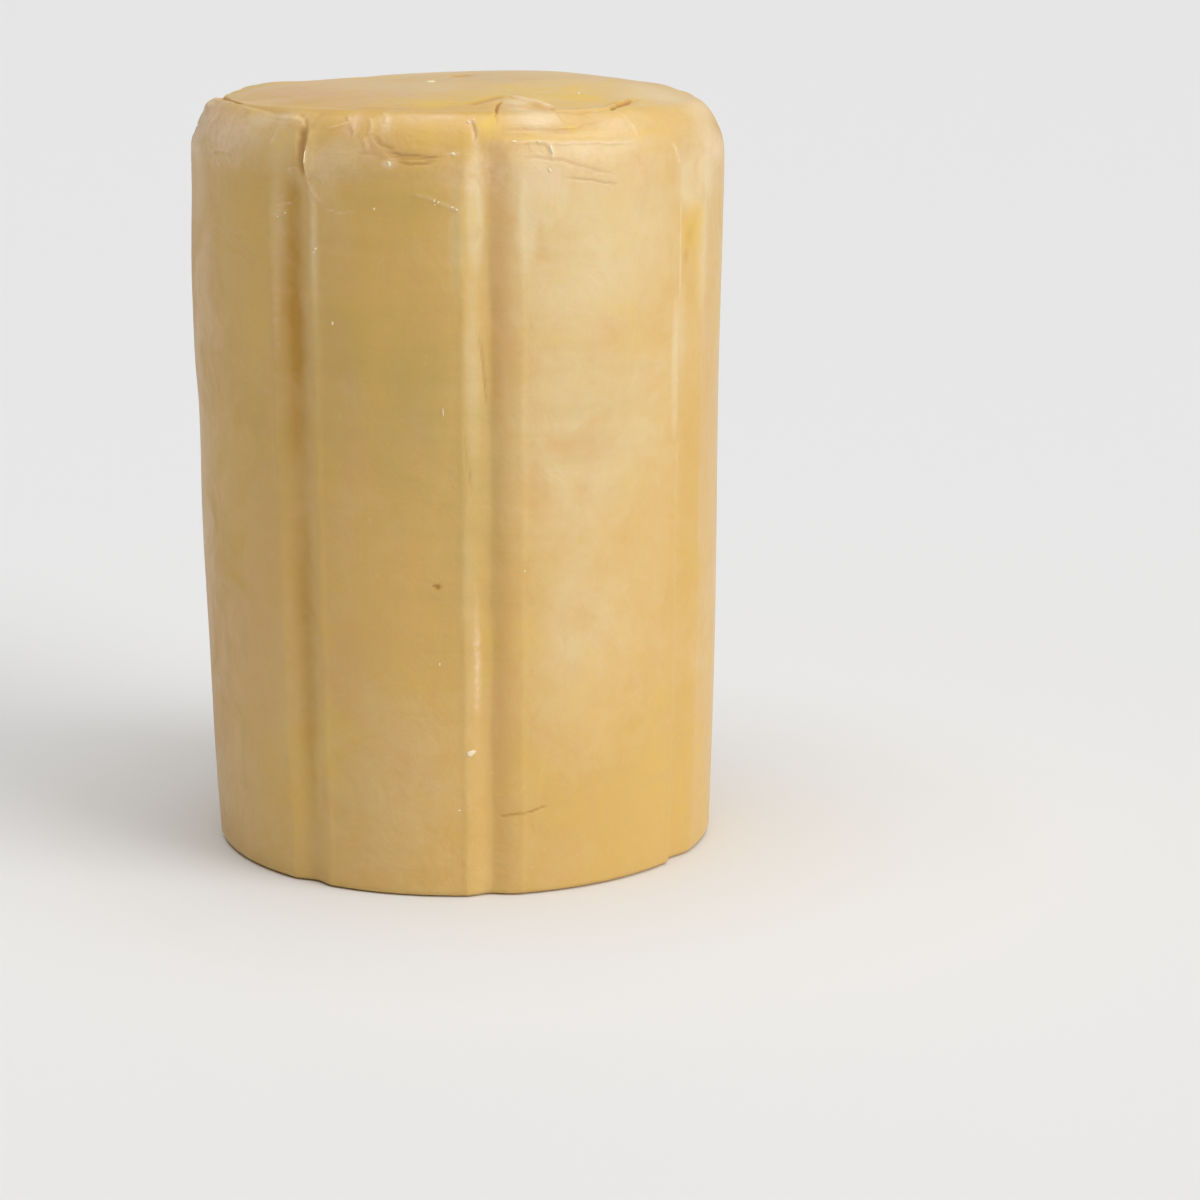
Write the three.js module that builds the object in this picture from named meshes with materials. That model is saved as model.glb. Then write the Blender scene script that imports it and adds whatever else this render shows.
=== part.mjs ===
import * as THREE from "three";

// Provolone cheese: a tall moulded cylinder, a little narrower at the foot, with a rounded
// shoulder, a low domed top and shallow upright grooves left by the mould.
// Lengths are in mm and bearings in degrees. Bearing 0 is the front (-Y) and 90 is +X.
// A place on the skin is given by its bearing and its run, the length up the outline from the foot.

// Body
const RADIUS = 125;
const WALL_HEIGHT = 330;
const FOOT_LOSS = 5.9;
const WIDEST_HEIGHT = 300;
const TAPER_POWER = 1.6;
const FOOT_FILLET = 3.5;

// Shoulder and dome
const SHOULDER_IN = 17;
const SHOULDER_UP = 26.4;
const SHOULDER_RUN = 34.5;
const DOME_RISE = 7.4;
const DOME_POWER = 3.5;
const DOME_LEAN = 1.7;
const BACK_DROP = 2;

const RIM_RADIUS = RADIUS - SHOULDER_IN;
const RIM_RUN = WALL_HEIGHT + SHOULDER_RUN;
const FULL_RUN = RIM_RUN + RIM_RADIUS;

// Forms of a groove's side: depth (1 - distance^a)^b from the trough to the edge, as powers a and b
const BOWL = [2, 2];
const SCOOP = [1.3, 2];
const SHARP = [1.3, 1];

// Grooves: bearing of the trough, depth, the run at which the groove ends under the shoulder, and
// how far each side reaches in degrees, with its form
const GROOVES = [
  { bearing: -85, depth: 3.2, end: 338, left: 4, right: 5.6, forms: [SHARP, BOWL] },
  { bearing: -34.8, depth: 2.8, end: 336, left: 5, right: 5.4, forms: [BOWL, BOWL] },
  { bearing: 8.1, depth: 3, end: 346, left: 5.4, right: 6.1, forms: [BOWL, SCOOP] },
  { bearing: 57.2, depth: 3, end: 342, left: 1.9, right: 8.1, forms: [SHARP, BOWL] },
  { bearing: 103, depth: 3.2, end: 339, left: 5.2, right: 5.6, forms: [BOWL, SCOOP] },
  { bearing: 145, depth: 3, end: 341, left: 4.6, right: 6, forms: [BOWL, BOWL] },
  { bearing: 189, depth: 3.4, end: 337, left: 5.4, right: 5, forms: [SCOOP, BOWL] },
  { bearing: 230.5, depth: 2.8, end: 340, left: 4, right: 6, forms: [SHARP, BOWL] },
];
const GROOVE_FADE = 14;
const GROOVE_ARCH = 7;

// Soft swells and hollows of the pressed body: bearing, run, rise and reach
const SWELLS = [
  [-83, 276, 2.2, 30],
  [-83, 236, 1.7, 24],
  [-83, 218, -0.2, 12],
  [-83, 150, 1.9, 60],
  [-83, 50, 1.4, 50],
  [-83, 305, 0.6, 12],
  [-83, 327, 1.3, 12],
  [-84, 333, 0.5, 5],
  [-83, 341, -1.6, 8],
  [-37, 353, 0.9, 8],
  [-100, 360, -1.9, 9.5],
  [-114, 371, 1.8, 14],
  [-137, 397, -0.7, 16],
  [90, 350, -1.9, 14],
  [85, 343, -1.5, 8],
  [100, 356, -1.9, 10],
  [104, 374, 0.9, 10],
  [109, 401, -1.5, 18],
  [124, 398, -0.7, 18],
  [94, 343, -0.9, 5],
  [90, 225, -2.1, 100],
  [125, 356, 0.6, 18],
  [160, 130, -0.6, 45],
  [205, 250, 0.7, 40],
  [250, 352, 1, 18],
];

// Folds pressed into the skin: the path as bearing and run, the width, and the depth, below zero
// for a raised ridge
const FOLDS = [
  { path: [[-112, 358.5], [-99, 357.5], [-88, 359.5], [-76, 361.5], [-68, 361]], width: 8, depth: 2.4 },
  { path: [[-98, 352], [-86, 351], [-72, 352.5]], width: 9, depth: -0.9 },
  { path: [[-78, 361.5], [-66, 361], [-60, 359.5]], width: 5, depth: 1 },
  { path: [[-57, 358.8], [-48, 356.5], [-42, 354], [-25, 355]], width: 6, depth: 0.5 },
  { path: [[-32.2, 345.5], [-31.6, 338], [-31.1, 330]], width: 6, depth: 2 },
  { path: [[-11, 336.5], [-3, 335.8]], width: 8, depth: 0.6 },
  { path: [[5.5, 373.5], [8.8, 378.5], [12.5, 383.5], [15, 386]], width: 8, depth: 0.6 },
  { path: [[18, 385], [20.7, 378], [23.6, 370.5], [25, 366]], width: 7, depth: -0.8 },
  { path: [[20.5, 372.5], [24.7, 360], [29, 357], [38, 359]], width: 6, depth: 0.8 },
  { path: [[38.5, 359], [40.5, 361.5], [44.5, 365.8], [54, 370.5]], width: 6, depth: 1.8 },
  { path: [[12.5, 347.4], [26, 346], [30.5, 349.5], [37, 353]], width: 6, depth: 0.9 },
  { path: [[138, 352], [152, 360], [171, 357]], width: 8, depth: 1.3 },
  { path: [[206, 372], [222, 365], [240, 367]], width: 8, depth: 1.3 },
];

// Mesh steps
const GROOVE_STATIONS = [-1, -0.72, -0.4, 0, 0.3, 0.62, 1];
const SEEN_STEP = 4.3;
const HIDDEN_STEP = 7;
const SEEN_FROM = -110;
const SEEN_TO = 110;
const FOOT_RUNS = [0, 0.5, 1.6, FOOT_FILLET];
const WALL_STEP = 21;
const FINE_FROM = 322;
const FINE_TO = 392;
const FINE_STEP = 2.6;
const DOME_STEP = 10;

const RADIAN = Math.PI / 180;
const FULL_TURN = 360;

const clamp = (value, low, high) => Math.min(Math.max(value, low), high);
const smooth = (value) => value * value * (3 - 2 * value);

// Signed angle from one bearing to another, within half a turn.
function turn(from, to) {
  const angle = (to - from) % FULL_TURN;
  if (angle > FULL_TURN / 2) return angle - FULL_TURN;
  if (angle < -FULL_TURN / 2) return angle + FULL_TURN;
  return angle;
}

// Radius and height of the plain body at a bearing and run.
function bodyAt(bearing, run) {
  const angle = bearing * RADIAN;
  if (run < WALL_HEIGHT) {
    const below = clamp(1 - run / WIDEST_HEIGHT, 0, 1);
    const corner = clamp(1 - run / FOOT_FILLET, 0, 1);
    const fillet = FOOT_FILLET * (1 - Math.sqrt(1 - corner * corner));
    return { radius: RADIUS - FOOT_LOSS * below ** TAPER_POWER - fillet, height: run };
  }
  const quarter = clamp((run - WALL_HEIGHT) / SHOULDER_RUN, 0, 1);
  const radius =
    run < RIM_RUN
      ? RIM_RADIUS + SHOULDER_IN * Math.cos((quarter * Math.PI) / 2)
      : FULL_RUN - run;
  const reach = Math.min(radius / RIM_RADIUS, 1);
  const shoulder = SHOULDER_UP * Math.sin((quarter * Math.PI) / 2);
  const dome = DOME_RISE * (1 - reach ** DOME_POWER);
  const lean = DOME_LEAN * Math.sin(angle) * Math.sin(Math.PI * reach);
  const drop = ((BACK_DROP * (1 - Math.cos(angle))) / 2) * reach * reach * quarter;
  return { radius, height: WALL_HEIGHT + shoulder + dome + lean - drop };
}

// Outward direction of the body's outline, level on the wall and turning up over the shoulder.
function outwardAt(bearing, run) {
  if (run <= WALL_HEIGHT) return { out: 1, up: 0 };
  const step = 0.5;
  const low = bodyAt(bearing, run - step);
  const high = bodyAt(bearing, Math.min(run + step, FULL_RUN));
  const out = high.height - low.height;
  const up = low.radius - high.radius;
  const length = Math.hypot(out, up);
  return { out: out / length, up: up / length };
}

// Depth of the mould grooves: each side is (1 - distance^a)^b, the distance a fraction of the way
// from the trough to the edge, with an arched upper end.
function grooveDepth(bearing, run) {
  let depth = 0;
  for (const groove of GROOVES) {
    const offset = turn(groove.bearing, bearing);
    const side = Math.abs(offset) / (offset < 0 ? groove.left : groove.right);
    if (side >= 1) continue;
    const [near, far] = groove.forms[offset < 0 ? 0 : 1];
    const end = groove.end - GROOVE_ARCH * side * side;
    const fade = smooth(clamp((end - run) / GROOVE_FADE, 0, 1));
    depth = Math.max(depth, groove.depth * (1 - side ** near) ** far * fade);
  }
  return depth;
}

function swellRise(bearing, run) {
  let rise = 0;
  for (const [middle, height, most, reach] of SWELLS) {
    const across = turn(middle, bearing) * RADIAN * RADIUS;
    const distance = Math.hypot(across, run - height) / reach;
    rise += most * Math.exp(-distance * distance);
  }
  return rise;
}

// Distance over the skin from a place to one straight stretch of a fold, in mm.
function stretchDistance(bearing, run, start, end) {
  const scale = RADIAN * bodyAt(bearing, run).radius;
  const ax = turn(bearing, start[0]) * scale;
  const ay = start[1] - run;
  const dx = turn(start[0], end[0]) * scale;
  const dy = end[1] - start[1];
  const along = clamp(-(ax * dx + ay * dy) / (dx * dx + dy * dy), 0, 1);
  return Math.hypot(ax + along * dx, ay + along * dy);
}

// Summed depth of the folds: each is a smooth furrow along its path.
function foldDepth(bearing, run) {
  let depth = 0;
  for (const { path, width, depth: most } of FOLDS) {
    let nearest = Infinity;
    for (let i = 1; i < path.length; i++) {
      nearest = Math.min(nearest, stretchDistance(bearing, run, path[i - 1], path[i]));
    }
    const inside = clamp(1 - (2 * nearest) / width, 0, 1);
    depth += most * smooth(inside);
  }
  return depth;
}

// A point of the finished skin.
function skinPoint(bearing, run) {
  const { radius, height } = bodyAt(bearing, run);
  const { out, up } = outwardAt(bearing, run);
  const calm = clamp(radius / RIM_RADIUS, 0, 1);
  const relief = swellRise(bearing, run) * calm;
  const shift = relief - grooveDepth(bearing, run) - foldDepth(bearing, run);
  const angle = bearing * RADIAN;
  const reach = radius + shift * out;
  return new THREE.Vector3(
    reach * Math.sin(angle),
    -reach * Math.cos(angle),
    height + shift * up,
  );
}

// Bearings of the mesh columns: stations across each groove, then even steps over the panel.
function columnBearings() {
  const bearings = [];
  GROOVES.forEach((groove, i) => {
    for (const station of GROOVE_STATIONS) {
      bearings.push(groove.bearing + station * (station < 0 ? groove.left : groove.right));
    }
    const next = GROOVES[(i + 1) % GROOVES.length];
    const gap = (next.bearing - groove.bearing + FULL_TURN) % FULL_TURN;
    const from = groove.bearing + groove.right;
    const panel = gap - groove.right - next.left;
    const middle = from + panel / 2;
    const seen = middle > SEEN_FROM && middle < SEEN_TO;
    const steps = Math.round(panel / (seen ? SEEN_STEP : HIDDEN_STEP));
    for (let k = 1; k < steps; k++) bearings.push(from + (panel * k) / steps);
  });
  return bearings;
}

// Even steps between two runs, without the last one.
function steps(from, to, step) {
  const count = Math.round((to - from) / step);
  return Array.from({ length: count }, (_, k) => from + ((to - from) * k) / count);
}

function rowRuns() {
  return [
    ...FOOT_RUNS.slice(0, -1),
    ...steps(FOOT_FILLET, FINE_FROM, WALL_STEP),
    ...steps(FINE_FROM, FINE_TO, FINE_STEP),
    ...steps(FINE_TO, FULL_RUN, DOME_STEP),
  ];
}

// The skin as a closed mesh: rings of points, a flat foot and a cap at the top of the dome.
function cheeseGeometry() {
  const bearings = columnBearings();
  const runs = rowRuns();
  const columns = bearings.length;
  const points = [];
  for (const run of runs) {
    for (const bearing of bearings) points.push(skinPoint(bearing, run));
  }
  const foot = points.push(new THREE.Vector3(0, 0, 0)) - 1;
  const crown = points.push(skinPoint(0, FULL_RUN)) - 1;
  const box = new THREE.Box3().setFromPoints(points);
  const centre = box.getCenter(new THREE.Vector3()).setZ(box.min.z);
  for (const point of points) point.sub(centre);

  const faces = [];
  const last = (runs.length - 1) * columns;
  for (let column = 0; column < columns; column++) {
    const next = (column + 1) % columns;
    faces.push(foot, next, column);
    for (let row = 0; row < runs.length - 1; row++) {
      const low = row * columns;
      const high = low + columns;
      faces.push(low + column, low + next, high + next);
      faces.push(low + column, high + next, high + column);
    }
    faces.push(crown, last + column, last + next);
  }

  const geometry = new THREE.BufferGeometry().setFromPoints(points);
  geometry.setIndex(faces);
  geometry.computeVertexNormals();
  return geometry;
}

const rind = new THREE.MeshStandardMaterial({ color: 0xd8b673, roughness: 0.42, metalness: 0 });
const cheese = new THREE.Mesh(cheeseGeometry(), rind);
cheese.name = "cheese";

const group = new THREE.Group();
group.add(cheese);

export default group;
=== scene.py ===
"""Provolone cheese: the skin of a tall moulded cylinder, with its grooves, folds and cracks.

A place on the skin is given by its bearing in degrees, 0 at the front (-Y) and 90 at +X, and
its run in mm, the length up the outline from the foot. The surface is worked out in mm and
stored in metres.
"""
import math

import bpy
import numpy as np
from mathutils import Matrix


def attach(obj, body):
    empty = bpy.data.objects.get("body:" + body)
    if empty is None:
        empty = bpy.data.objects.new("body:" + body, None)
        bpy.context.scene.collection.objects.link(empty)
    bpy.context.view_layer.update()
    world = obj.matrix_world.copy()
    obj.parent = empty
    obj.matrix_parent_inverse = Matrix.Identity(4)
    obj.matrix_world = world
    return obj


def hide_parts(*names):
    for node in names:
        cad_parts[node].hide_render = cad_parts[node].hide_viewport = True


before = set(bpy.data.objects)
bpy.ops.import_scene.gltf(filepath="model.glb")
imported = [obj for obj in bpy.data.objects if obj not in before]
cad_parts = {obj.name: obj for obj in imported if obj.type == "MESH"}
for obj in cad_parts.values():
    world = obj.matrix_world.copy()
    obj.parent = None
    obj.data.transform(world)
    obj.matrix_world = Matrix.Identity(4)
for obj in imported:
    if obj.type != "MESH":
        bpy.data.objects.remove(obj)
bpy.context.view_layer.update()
MM = 0.001

# Camera

LENS_MM = 99.0
SENSOR_MM = 36.0
CAMERA_AT = (0.0670, -1.5593, 0.4696)
CAMERA_DOWN = 0.2251
CAMERA_FAR_END = 50


def add_camera():
    """The camera at the photograph's height and distance, looking along +Y and a little down."""
    data = bpy.data.cameras.new("camera")
    data.lens = LENS_MM
    data.sensor_width = SENSOR_MM
    data.clip_end = CAMERA_FAR_END
    camera = bpy.data.objects.new("camera", data)
    camera.location = CAMERA_AT
    camera.rotation_euler = (math.pi / 2 - CAMERA_DOWN, 0, 0)
    bpy.context.collection.objects.link(camera)
    bpy.context.scene.camera = camera


add_camera()

# Shape of the body, in mm

RADIUS = 125.0
WALL_HEIGHT = 330.0
FOOT_LOSS = 5.9
WIDEST_HEIGHT = 300.0
TAPER_POWER = 1.6
FOOT_FILLET = 3.5
SHOULDER_IN = 17.0
SHOULDER_UP = 26.4
SHOULDER_RUN = 34.5
DOME_RISE = 7.4
DOME_POWER = 3.5
DOME_LEAN = 1.7
BACK_DROP = 2.0
NORMAL_STEP = 0.5
RIM_RADIUS = RADIUS - SHOULDER_IN
RIM_RUN = WALL_HEIGHT + SHOULDER_RUN
FULL_RUN = RIM_RUN + RIM_RADIUS

# Forms of a groove's side: depth (1 - distance^a)^b from the trough to the edge, as powers a, b
BOWL = (2.0, 2.0)
SCOOP = (1.3, 2.0)
SHARP = (1.3, 1.0)

# Grooves: bearing of the trough, depth, the run at which the groove ends under the shoulder, how
# far the left and right sides reach in degrees, and their forms
GROOVES = [
    (-85, 3.2, 338, 4, 5.6, SHARP, BOWL), (-34.8, 2.8, 336, 5.0, 5.4, BOWL, BOWL),
    (8.1, 3.0, 346, 5.4, 6.1, BOWL, SCOOP), (57.2, 3.0, 342, 1.9, 8.1, SHARP, BOWL),
    (103, 3.2, 339, 5.2, 5.6, BOWL, SCOOP), (145, 3.0, 341, 4.6, 6, BOWL, BOWL),
    (189, 3.4, 337, 5.4, 5, SCOOP, BOWL), (230.5, 2.8, 340, 4, 6, SHARP, BOWL),
]
GROOVE_FADE = 14.0
GROOVE_ARCH = 7.0
# Bead beside a groove: rise in mm, middle and reach in degrees outside the edge
BEAD_RISE = 0.3
BEAD_OUT = 0.4
BEAD_REACH = 0.8
# Sideways waver of a groove: degrees, and mm of run to a radian, for a long and a short wave
LONG_WAVER = (0.16, 12.0)
SHORT_WAVER = (0.096, 4.7)

# Soft swells and hollows of the pressed body: bearing, run, rise and reach
SWELLS = [
    (-83, 276, 2.2, 30), (-83, 236, 1.7, 24), (-83, 218, -0.2, 12), (-83, 150, 1.9, 60),
    (-83, 50, 1.4, 50), (-83, 305, 0.6, 12), (-83, 327, 1.3, 12), (-84, 334, 1.1, 4.5),
    (-83, 341, -1.6, 8), (-37, 353, 0.9, 8), (-100, 360, -1.9, 9.5), (-114, 371, 1.8, 14),
    (-137, 397, -0.7, 16), (90, 350, -1.9, 14), (85, 343, -1.5, 8), (100, 356, -1.9, 10),
    (104, 374, 0.9, 10), (109, 401, -1.5, 18), (124, 398, -0.7, 18), (94, 343, -0.9, 5),
    (90, 225, -2.1, 100), (125, 356, 0.6, 18), (160, 130, -0.6, 45), (205, 250, 0.7, 40),
    (250, 352, 1.0, 18),
]

# Folds: path as (bearing, run), width at its start and end, depth (raised where negative), tint
# of the bottom (above zero, amber that is partly the cracks' own colour and partly painted shade
# in the fold; below zero, a pale painted highlight along the raised fold), and how far the side
# on the left of the path's direction stands up (the right side where negative)
FOLDS = [
    ([(-114, 358.5), (-99, 357.5), (-88, 359.5), (-76, 361.5), (-66, 361)],
     8.5, 6.5, 2.4, 0.25, -0.5),
    ([(-80, 361.6), (-71, 361.4), (-66, 361.2), (-61, 359.7), (-57, 358.8)],
     3.6, 2.2, 1.6, 0.6, -0.3),
    ([(-105, 352), (-96, 352), (-86, 351), (-72, 352.5)], 9, 9, -0.9, 0.0, 0.0),
    ([(-60, 359), (-48, 356.5), (-42, 354), (-35, 353.4), (-22, 356)], 5.5, 5.5, 0.5, 0.0, -0.3),
    ([(-36, 354), (-33, 351.5), (-32, 348), (-31.7, 344)], 4, 3.5, 0.45, 0.0, 0.0),
    ([(-32.4, 348.5), (-32.2, 343.5), (-31.8, 337), (-31.1, 326.5)], 9.5, 3.2, 2.1, 0.45, 0.7),
    ([(-31.4, 346.5), (-31.1, 341), (-31.0, 334), (-30.8, 327)], 2.4, 2.0, 0.9, 0.75, 0.6),
    ([(-12, 336.5), (-7, 336), (-2, 335.8)], 7, 7, 0.5, 0.0, 0.25),
    ([(3.5, 371), (8.8, 378.5), (12.5, 383.5), (16.5, 387.5)], 7, 7, 0.5, 0.4, 0.0),
    ([(16.5, 388), (18.5, 384), (20.7, 378), (22.5, 374), (23.6, 370.5), (25.8, 363.5)],
     6.0, 4.5, -1.0, -0.9, 0.0),
    ([(17.5, 382), (20.5, 372.5), (21.5, 368.5), (22.5, 366), (24.7, 360), (29, 357),
      (32.2, 358), (35.3, 357.8), (41, 361)], 4.5, 3.5, 0.8, 0.08, 0.4),
    ([(37, 357), (40.5, 361.5), (44.5, 365.8), (49, 368.5), (57, 371.5)], 5, 3.5, 1.1, 0.15, 0.5),
    ([(10.5, 347.4), (17, 347.3), (22.8, 346.3), (25.7, 346), (27.5, 346.8), (30.5, 349.5),
      (33.5, 350.5), (38.5, 353.5)], 3.6, 3.2, 0.65, 0.08, 0.4),
    ([(24.8, 363), (24.5, 357), (25, 351), (27.5, 347)], 2.6, 2.2, 0.35, 0.05, -0.25),
    ([(9, 344.4), (24, 343.8), (46, 342.2)], 4.5, 4.5, 0.35, 0.0, 0.0),
    ([(136, 352), (152, 360), (173, 357)], 7, 5, 1.3, 0.3, 0.5),
    ([(203, 373), (222, 365), (243, 367)], 7, 5, 1.3, 0.3, 0.5),
]

# Fine creases and cracks, in the same form
CREASES = [
    ([(-13.4, 338.2), (-9.5, 337.4), (-6, 336.9), (-0.6, 336.3)], 1.6, 1.3, 0.6, 0.42, 0.15),
    ([(-12.6, 336.4), (-7.5, 336.1), (-2, 335.3)], 1.3, 1.2, 0.4, 0.26, 0.1),
    ([(-11, 335), (-8, 333.9), (-5.4, 333.7), (-2.4, 335)], 1.7, 1.4, 0.6, 0.42, 0.1),
    ([(14, 378.5), (12.4, 374.5), (11.6, 370.5), (11.0, 366), (10.4, 358)],
     2.3, 1.7, 1.5, 0.8, 0.0),
    ([(10.8, 363), (10.2, 356), (10.5, 349)], 1.7, 1.4, 0.5, 0.25, 0.0),
    ([(4.6, 354), (5.3, 349), (5.6, 346), (5.2, 341.5)], 2.4, 1.6, 0.6, 0.6, 0.0),
    ([(38.6, 358.2), (40.3, 361), (42.4, 364), (43.6, 365.2)], 3.6, 2.2, 1.3, 1.1, 0.3),
    ([(41.8, 364), (44.2, 365.8), (47, 367.5), (52.5, 371)], 3.6, 2.0, 1.2, 0.9, 0.3),
    ([(37.5, 363), (41.5, 366.8), (46, 369)], 1.7, 1.4, 0.4, 0.3, 0.0),
    ([(13.2, 336.7), (17, 336.0), (19.6, 335.4), (22.2, 334.7), (24.7, 333.7), (27, 332.3),
      (31.3, 330.2), (37.5, 327)], 1.5, 1.2, 0.35, 0.18, 0.12),
    ([(22.8, 327.7), (27.3, 327.0), (29.5, 326.3), (32, 325.2), (37, 323.3)],
     1.5, 1.3, 0.45, 0.28, 0.12),
    ([(12.4, 355), (16.8, 353.6), (22.5, 351.2)], 1.8, 1.8, 0.3, 0.0, 0.1),
    ([(12.4, 351.2), (17.8, 351), (23.4, 349.4)], 1.8, 1.8, 0.3, 0.0, 0.1),
    ([(12, 349.4), (16.5, 349.3), (24.4, 348.2)], 1.5, 1.5, 0.25, 0.05, 0.1),
    ([(40.5, 356.5), (41.2, 351), (42, 346.5), (42.8, 340.5)], 3.0, 3.0, -0.45, -0.4, 0.0),
    ([(10.5, 342.4), (14, 341.5), (18, 341.9), (23, 341.0), (29.6, 341.1), (35.2, 340.2),
      (44.5, 339.8)], 1.9, 1.6, -0.5, -0.4, 0.0),
    ([(19.6, 342), (20.8, 340.5), (21.1, 338.5), (21.5, 334.8)], 3.2, 1.8, -0.5, -0.9, 0.0),
    ([(52.6, 339.5), (53.5, 334), (54.5, 329)], 3.2, 2.8, -0.6, -0.9, 0.0),
    ([(54.4, 333), (55.1, 322), (55.1, 300), (55.0, 262)], 2.2, 2.0, -0.4, -0.5, 0.0),
    ([(5.2, 265), (6.4, 250), (6.9, 240), (7.7, 223)], 1.3, 1.2, 0.5, 0.36, 0.0),
    ([(2.6, 215), (3.0, 203), (4.3, 190)], 1.3, 1.2, 0.5, 0.26, 0.0),
    ([(8.6, 37.2), (11, 38.8), (15.5, 39.6), (21.2, 42.6)], 1.5, 1.3, 0.8, 0.5, 0.0),
    ([(16, 82), (16.4, 70)], 1.3, 1.3, 0.25, 0.1, 0.0),
    ([(-4.2, 147.6), (-2.4, 146.0)], 2.6, 2.6, 0.9, 0.8, 0.0),
    ([(-16.6, 343.5), (-15.5, 337)], 2.0, 2.0, 0.3, 0.08, 0.0),
    ([(-30.4, 340), (-30.3, 332), (-29.9, 326), (-29, 321.5), (-27.4, 317.5), (-26, 314.6)],
     1.8, 1.3, -0.6, -0.6, 0.0),
    ([(-29.7, 325), (-29.4, 318.5), (-28.2, 313)], 1.4, 1.2, -0.5, -0.5, 0.0),
    ([(-28.4, 322), (-26.4, 315.6)], 1.2, 1.2, -0.4, -0.5, 0.0),
    ([(-26.4, 313.7), (-22.5, 312.8), (-18, 313)], 1.5, 1.2, -0.35, -0.4, 0.0),
    ([(-9, 322.2), (-5, 321), (-2.5, 318.5), (0.5, 316), (3.6, 313)], 2.8, 2.0, -0.4, -0.3, 0.0),
    ([(-40.2, 314.6), (-34.8, 315)], 1.3, 1.3, -0.4, -0.5, 0.0),
    ([(-40, 311.8), (-35.4, 312.2)], 1.1, 1.1, -0.3, -0.35, 0.0),
    ([(-40, 309.4), (-35.2, 309.7)], 1.3, 1.3, -0.35, -0.4, 0.0),
    ([(-23.2, 357), (-21.5, 350.5), (-20.0, 345.5), (-19.8, 342)], 2.6, 1.8, -0.5, -0.4, 0.0),
    ([(-22.2, 353), (-20.8, 347), (-20.4, 343)], 1.6, 1.4, 0.45, 0.12, 0.0),
    ([(-17.6, 355), (-16.2, 348.5), (-16.5, 343.6)], 2.4, 1.8, -0.45, -0.35, 0.0),
    ([(-18, 344.6), (-17, 340.5), (-17.5, 336.5)], 1.8, 1.5, -0.4, -0.3, 0.0),
    ([(-15.6, 345), (-14.3, 341.5), (-12.5, 339.8), (-10.6, 339.3)], 1.5, 1.3, 0.5, 0.28, 0.1),
    ([(-26.4, 347), (-24.2, 348.6), (-21.4, 351)], 1.9, 1.5, -0.5, -0.5, 0.0),
    ([(-14.9, 360), (-13.4, 353.5), (-13.2, 349)], 1.8, 1.5, -0.45, -0.45, 0.0),
    ([(-9.6, 357.6), (-7, 353), (-6.6, 349)], 2.2, 1.8, 0.3, 0.04, 0.0),
    ([(-41.2, 351), (-37.8, 350.2), (-34.5, 352)], 2.4, 2.0, -0.5, -0.3, 0.0),
    ([(-40.8, 338), (-39.7, 342), (-38.8, 347)], 2.2, 1.8, -0.45, -0.35, 0.0),
    ([(-19.4, 337.6), (-14.8, 337), (-12, 334.2)], 1.6, 1.3, 0.3, 0.14, 0.0),
    ([(-36, 330), (-33, 331.2), (-31.8, 329.4)], 1.9, 1.5, -0.5, -0.4, 0.0),
    ([(-29.6, 328.8), (-27.4, 327.8), (-25.2, 322)], 1.8, 1.4, -0.35, -0.3, 0.0),
    ([(-62, 333.4), (-57, 334.2), (-52.4, 333.6)], 2.2, 1.8, 0.35, 0.08, 0.0),
    ([(149, 330.5), (158, 334), (169, 333)], 2.0, 1.6, 0.5, 0.2, 0.0),
    ([(195, 352.5), (203, 347), (215, 346)], 2.2, 1.6, 0.6, 0.3, 0.0),
    ([(261, 343.5), (270, 340), (282, 341)], 2.0, 1.6, 0.5, 0.2, 0.0),
    ([(111, 93), (121, 88), (127, 90)], 1.6, 1.4, 0.7, 0.4, 0.0),
    ([(229.6, 64), (233.2, 48)], 1.6, 1.4, 0.6, 0.3, 0.0),
]
# How far a raised side reaches in mm, the share of a path over which its tips narrow, the
# share of the width left at a tip, and how far paths tremble in mm
SIDE_REACH = 5.0
TIP = 0.22
TIP_WIDTH = 0.5
TREMBLE = 0.16

# Flakes and beads of wax on the skin, most of the small beads set at glint spots, where their
# pale colour is painted highlight: bearing, run, half width, half height and rise in mm
FLAKES_AND_GLINTS = [
    (3.5, 69, 2.1, 1.5, 0.5), (-23.2, 442, 1.7, 3.2, 0.7), (0.9, 337.6, 1.1, 0.7, 0.5),
    (4.2, 351.6, 0.9, 0.6, 0.5), (5.2, 353.2, 0.6, 0.6, 0.4), (-2.9, 318.8, 0.6, 0.6, 0.4),
    (-2.1, 318.1, 0.5, 0.6, 0.4), (-2.8, 317.1, 0.4, 0.4, 0.3), (0.7, 316.0, 0.6, 0.5, 0.4),
    (1.5, 315.0, 0.6, 0.5, 0.4), (-12.0, 333.8, 1.0, 0.9, 0.4), (-30.4, 334.8, 0.45, 2.2, 0.5),
    (-28.4, 296.2, 0.9, 0.5, 0.4), (-28.8, 294.6, 0.5, 0.5, 0.4), (-36.7, 310.8, 0.5, 0.5, 0.3),
    (-38.3, 309.0, 0.5, 0.4, 0.3), (-1.6, 225.8, 0.3, 1.9, 0.4), (-24.8, 263.6, 0.7, 0.7, 0.3),
    (15.0, 153.0, 0.5, 0.5, 0.3), (-3.0, 110.8, 0.4, 0.7, 0.3), (0.8, 42.0, 0.6, 0.5, 0.3),
    (21.0, 338.8, 0.8, 1.9, 0.4), (20.5, 331.1, 0.8, 0.8, 0.4), (18.6, 341.9, 1.5, 0.4, 0.4),
    (-15.2, 314.8, 0.6, 0.5, 0.3), (40.0, 385.6, 0.9, 1.2, 0.4), (13.4, 342.2, 1.0, 0.6, 0.4),
]
# Flakes out of sight: how many, from which seed, and the least and most of the same numbers
HIDDEN_FLAKES = 12
FLAKE_SEED = 11
LEAST_FLAKE = (95, 30, 0.5, 0.4, 0.3)
MOST_FLAKE = (265, 350, 1.4, 1.2, 0.5)
FLAKE_COLUMNS = 12
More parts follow.
